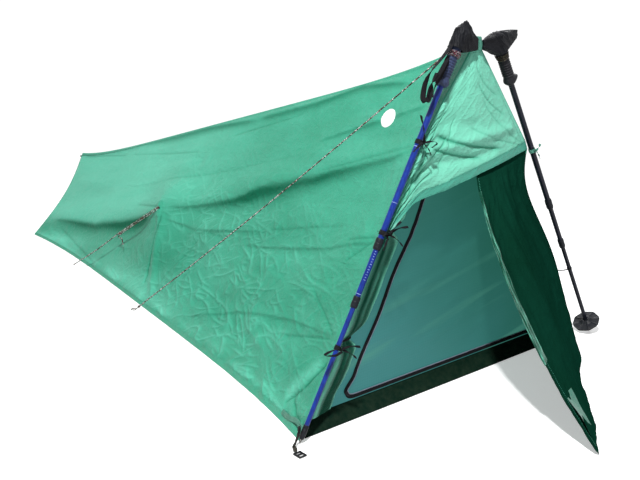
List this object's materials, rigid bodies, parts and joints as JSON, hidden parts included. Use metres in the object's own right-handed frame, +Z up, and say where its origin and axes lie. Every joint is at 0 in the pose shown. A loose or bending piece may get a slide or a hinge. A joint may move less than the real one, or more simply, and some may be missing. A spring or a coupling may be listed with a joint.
{
  "type": "ultralight tent",
  "caption": "A-frame tent of thin cloth pitched on crossed trekking poles, its ridge sloping down to a low foot end, with a gable panel, a storm door, a zipped inner door and a tub floor.",
  "frame": {"origin": "on the ground, at the middle of the front edge of the floor", "axes": "+Y runs from the front to the foot end, +Z is up, +X is to the right of someone who looks in through the front"},
  "size_m": [1.4222, 3.0818, 1.1279],
  "materials": {
    "cloth": "smooth sea-green coated cloth, slightly shiny, drawn tight and wrinkled",
    "shade_cloth": "the same cloth hanging in its own shade",
    "net": "fine dull green netting",
    "floor": "dark green coated floor cloth",
    "black_cloth": "black cloth, dull with a grey sheen on its folds",
    "webbing": "black woven ribbon and webbing",
    "pale_webbing": "pale green woven ribbon",
    "white": "plain white sewn patch",
    "blue_tube": "glossy saturated blue anodised and lacquered aluminium",
    "black_plastic": "black moulded plastic",
    "grip": "soft dark moulded grip with pale blue highlights",
    "steel": "worn grey metal and plastic ferrule",
    "cord": "thin round cord, flecked red, white and black"
  },
  "bodies": {
    "canopy": {"left_wall": "cloth", "right_wall": "cloth", "rear_wall": "cloth", "ridge_seam": "cloth", "rear_ridge_loop": "webbing", "gable_panel": "cloth", "left_storm_door_roll": "shade_cloth", "inner_door": "net", "inner_door_zip": "webbing", "floor_tub": "floor", "round_patch": "white", "left_pullout_loop": "webbing", "right_pullout_loop": "webbing", "left_upper_tube": "blue_tube", "left_upper_lock_collar": "black_plastic", "left_grip": "grip", "left_lashing": "cord", "right_upper_tube": "blue_tube", "right_upper_lock_collar": "black_plastic", "right_grip": "grip", "right_lashing": "cord", "left_boot": "black_cloth", "right_boot": "black_cloth", "apex_loop": "cloth", "left_tie_top": "webbing", "left_tie_middle": "webbing", "left_tie_bottom": "webbing", "right_tie_top": "pale_webbing", "right_tie_bottom": "webbing", "left_corner_strap": "pale_webbing", "left_corner_webbing": "webbing", "right_corner_strap": "pale_webbing", "left_corner_buckle": "black_plastic", "main_guyline": "cord", "side_guyline": "cord", "left_wrist_strap": "webbing"},
    "storm_door": {"right_storm_door": "shade_cloth"},
    "zip_slider": {"zip_slider": "black_plastic"},
    "left_middle_section": {"left_middle_tube": "blue_tube", "left_lower_lock_collar": "black_plastic"},
    "left_lower_section": {"left_lower_tube": "blue_tube", "left_tip": "steel"},
    "left_upper_plug": {"left_upper_expander": "black_plastic"},
    "left_lower_plug": {"left_lower_expander": "black_plastic"},
    "right_middle_section": {"right_middle_tube": "blue_tube", "right_lower_lock_collar": "black_plastic"},
    "right_lower_section": {"right_lower_tube": "blue_tube", "right_tip": "steel", "right_basket": "black_plastic"},
    "right_upper_plug": {"right_upper_expander": "black_plastic"},
    "right_lower_plug": {"right_lower_expander": "black_plastic"}
  },
  "joints": [
    {"name": "left_upper_slide", "type": "slide", "parent": "canopy", "child": "left_upper_plug", "axis": [0.4712, -0.016, 0.8819], "range_m": [0, 0.1]},
    {"name": "left_upper_twist", "type": "hinge", "parent": "left_upper_plug", "child": "left_middle_section", "pos_m": [-0.33712, -0.03296, 0.63143], "axis": [0.4712, -0.016, 0.8819], "range_deg": [0, 180]},
    {"name": "left_lower_slide", "type": "slide", "parent": "left_middle_section", "child": "left_lower_plug", "axis": [0.4712, -0.016, 0.8819], "range_m": [0, 0.1]},
    {"name": "left_lower_twist", "type": "hinge", "parent": "left_lower_plug", "child": "left_lower_section", "pos_m": [-0.41911, -0.03017, 0.47798], "axis": [0.4712, -0.016, 0.8819], "range_deg": [0, 180]},
    {"name": "right_upper_slide", "type": "slide", "parent": "canopy", "child": "right_upper_plug", "axis": [-0.4984, -0.016, 0.8668], "range_m": [0, 0.1]},
    {"name": "right_upper_twist", "type": "hinge", "parent": "right_upper_plug", "child": "right_middle_section", "pos_m": [0.31765, -0.03296, 0.62063], "axis": [-0.4984, -0.016, 0.8668], "range_deg": [0, 180]},
    {"name": "right_lower_slide", "type": "slide", "parent": "right_middle_section", "child": "right_lower_plug", "axis": [-0.4984, -0.016, 0.8668], "range_m": [0, 0.1]},
    {"name": "right_lower_twist", "type": "hinge", "parent": "right_lower_plug", "child": "right_lower_section", "pos_m": [0.40437, -0.03017, 0.46981], "axis": [-0.4984, -0.016, 0.8668], "range_deg": [0, 180]},
    {"name": "storm_door_swing", "type": "hinge", "parent": "canopy", "child": "storm_door", "pos_m": [0.5901, -0.013, 0.004], "axis": [-0.4372, -0.0163, 0.8992], "range_deg": [0, 68]},
    {"name": "zip_slide", "type": "slide", "parent": "canopy", "child": "zip_slider", "axis": [-1, 0, 0], "range_m": [0, 0.8]}
  ]
}
